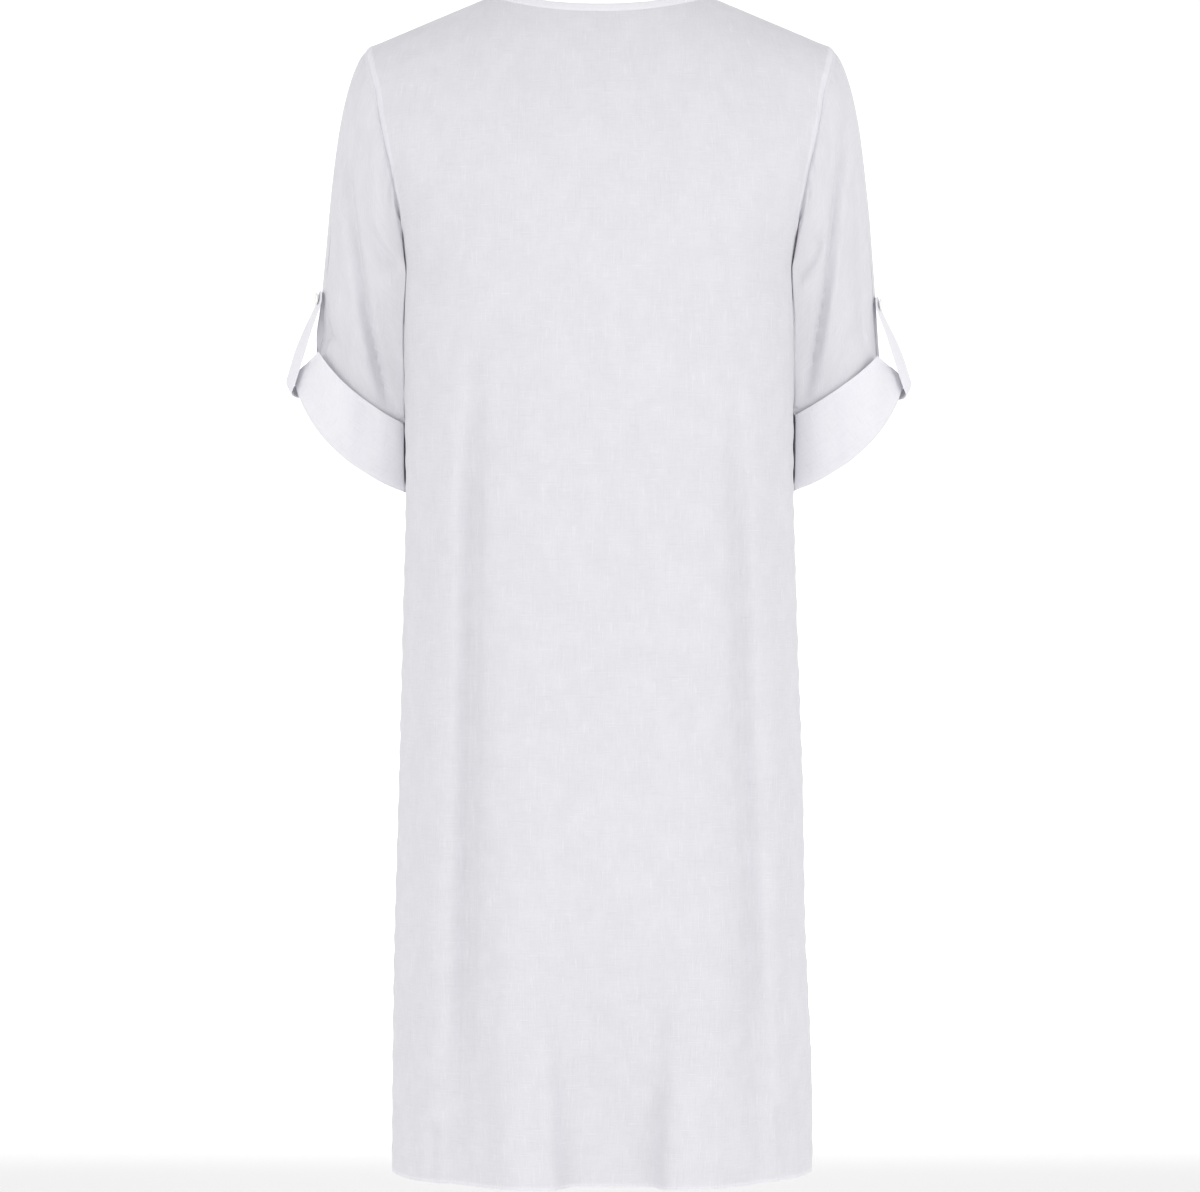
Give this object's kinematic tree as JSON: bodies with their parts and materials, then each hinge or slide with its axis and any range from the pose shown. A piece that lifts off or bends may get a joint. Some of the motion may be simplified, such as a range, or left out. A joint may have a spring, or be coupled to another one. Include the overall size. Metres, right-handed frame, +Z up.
{
  "type": "linen dress",
  "caption": "Straight round-necked linen dress with half sleeves, turned-up cuffs held by buttoned tabs, filled out as if worn and open at neck, hem, cuffs and armholes.",
  "frame": {"origin": "middle of the neck opening, level with the neck ends of the shoulder seams, where the wearer's shoulders hold the dress", "axes": "+Z up, the front faces -Y and the back +Y, the wearer's left side is +X"},
  "size_m": [0.5574, 0.2822, 1.0323],
  "materials": {
    "linen": "matt plain-woven white linen, single layer",
    "linen_double": "matt plain-woven white linen, doubled",
    "button": "pale pearl-like plastic"
  },
  "bodies": {
    "root": {"back_panel": "linen", "front_panel": "linen", "neck_band": "linen_double", "sleeve_left": "linen", "sleeve_right": "linen", "cuff_left": "linen_double", "cuff_right": "linen_double", "tab_left": "linen_double", "tab_right": "linen_double", "button_left": "button", "button_right": "button"}
  },
  "joints": []
}
